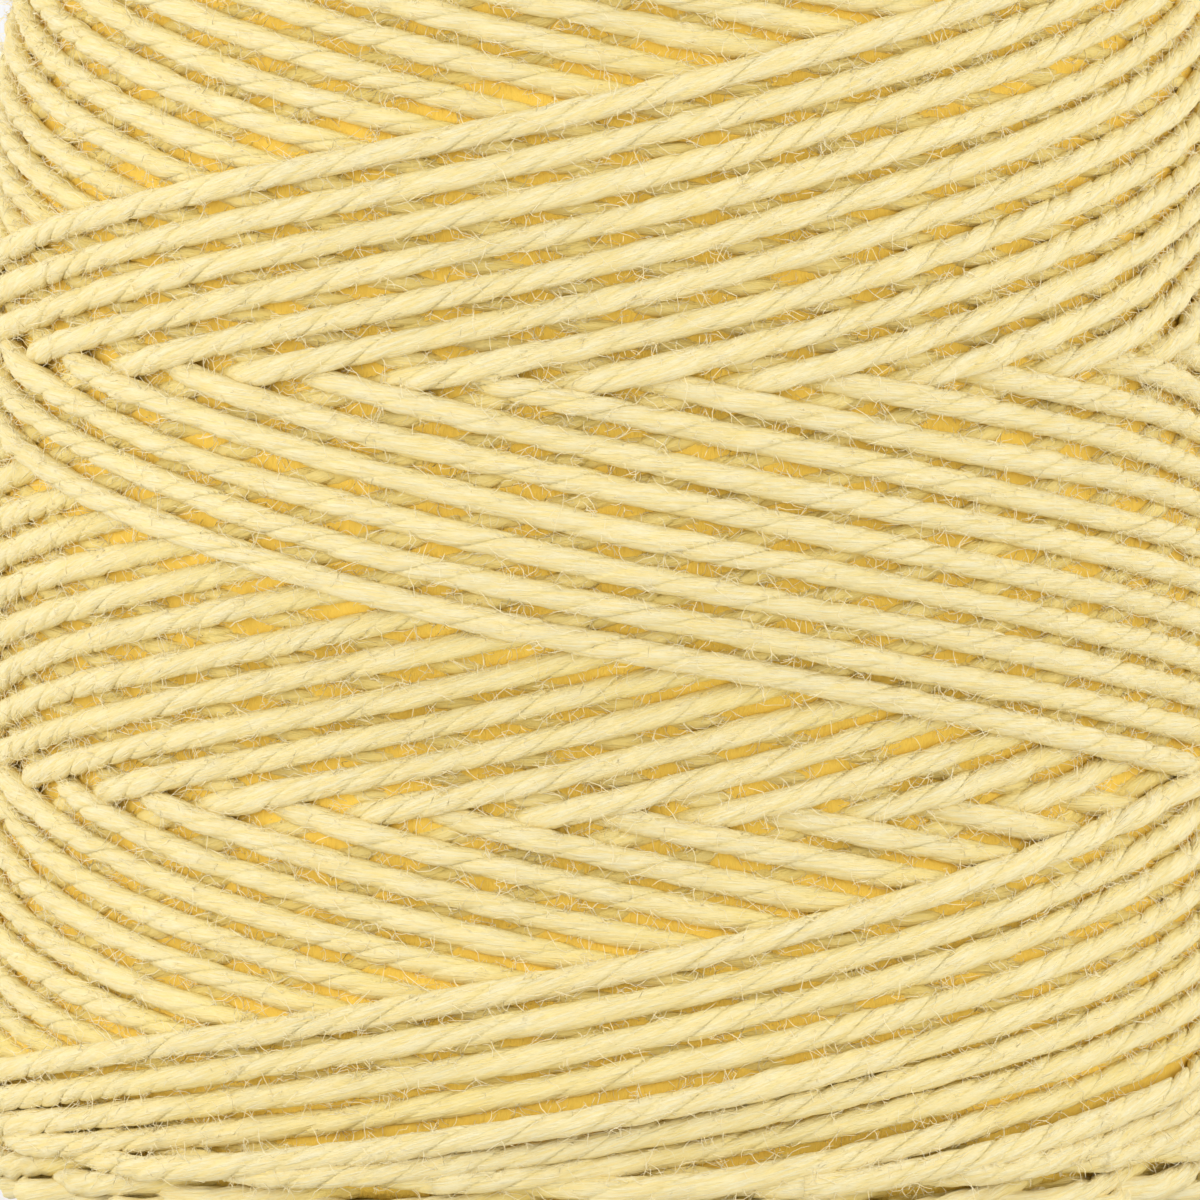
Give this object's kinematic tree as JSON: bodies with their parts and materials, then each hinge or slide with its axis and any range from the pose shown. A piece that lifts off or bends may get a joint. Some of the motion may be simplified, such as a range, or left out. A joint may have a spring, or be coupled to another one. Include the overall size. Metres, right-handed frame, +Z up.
{
  "type": "waxed thread spool",
  "caption": "Flangeless, slightly tapered cross-wound package of plied waxed thread on a spiral paperboard tube, with a thread slit in the upper rim.",
  "frame": {"origin": "centre of the tube's lower end, on the surface that the spool stands on", "axes": "+Z up along the winding axis, towards the rim with the thread slit; -Y is the side the camera of the reference view faces"},
  "size_m": [0.0436, 0.0436, 0.0648],
  "materials": {
    "thread": "matte",
    "liner_paper": "matte",
    "tube_board": "matte",
    "facing_paper": "matte"
  },
  "bodies": {
    "root": {"tube_liner": "liner_paper", "tube_board_1": "tube_board", "tube_board_2": "tube_board", "tube_facing": "facing_paper", "start_tail": "thread", "winding_layer_1": "thread", "winding_layer_2": "thread", "winding_layer_3": "thread", "winding_layer_4": "thread", "winding_layer_5": "thread", "winding_layer_6": "thread", "finish_tail": "thread"}
  },
  "joints": []
}
